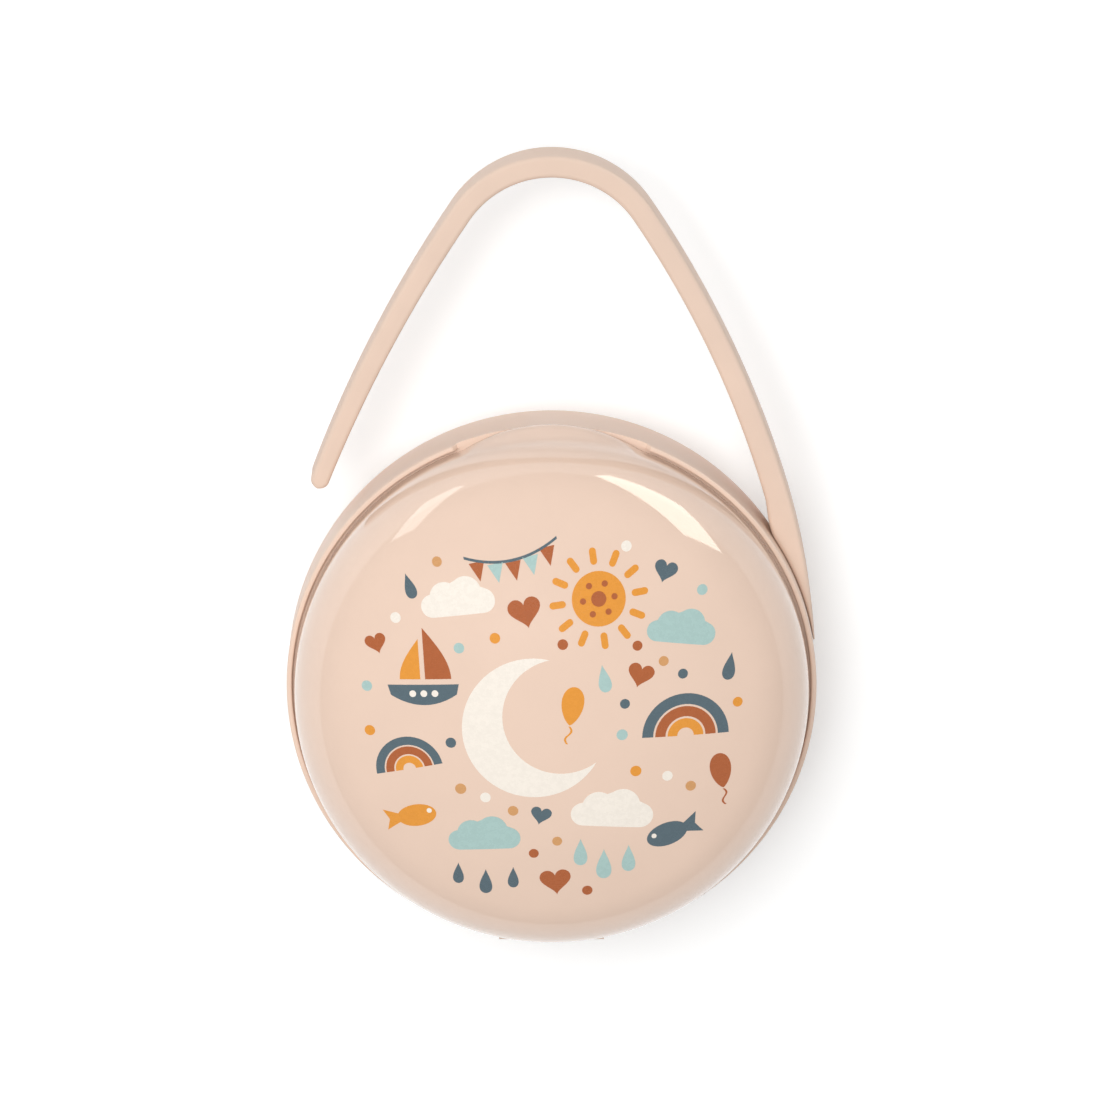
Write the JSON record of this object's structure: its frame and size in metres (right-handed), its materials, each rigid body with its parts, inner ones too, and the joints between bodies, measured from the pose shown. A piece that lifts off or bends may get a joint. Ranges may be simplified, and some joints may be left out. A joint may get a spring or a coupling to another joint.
{
  "type": "pacifier case",
  "caption": "Round domed clamshell case for a pacifier, with a pinned hinge, a thumb tab and a soft hooked strap.",
  "frame": {"origin": "centre of the flat foot under the rear shell", "axes": "+Z out of the domed lid, +Y towards the arch of the strap, +X towards the strap's root"},
  "size_m": [0.078, 0.1175, 0.048],
  "materials": {
    "satin_shell": "satin moulded plastic, blush",
    "gloss_lid": "polished moulded plastic, blush, printed",
    "steel": "drawn steel",
    "soft_strap": "soft matte moulding, blush"
  },
  "bodies": {
    "case": {"rear_shell": "satin_shell", "hinge_pin": "steel", "strap_root": "soft_strap"},
    "lid": {"front_lid": "gloss_lid"},
    "strap": {"strap_arm": "soft_strap"}
  },
  "joints": [
    {"name": "lid_hinge", "type": "hinge", "parent": "case", "child": "lid", "pos_m": [0, -0.0374, 0.0252], "axis": [1, 0, 0], "range_deg": [0, 125]},
    {"name": "strap_flex", "type": "hinge", "parent": "case", "child": "strap", "pos_m": [0.03314, 0.02764, 0.018], "axis": [0, 0, -1], "range_deg": [-3, 20], "stiffness_Nm_per_rad": 0.3}
  ]
}
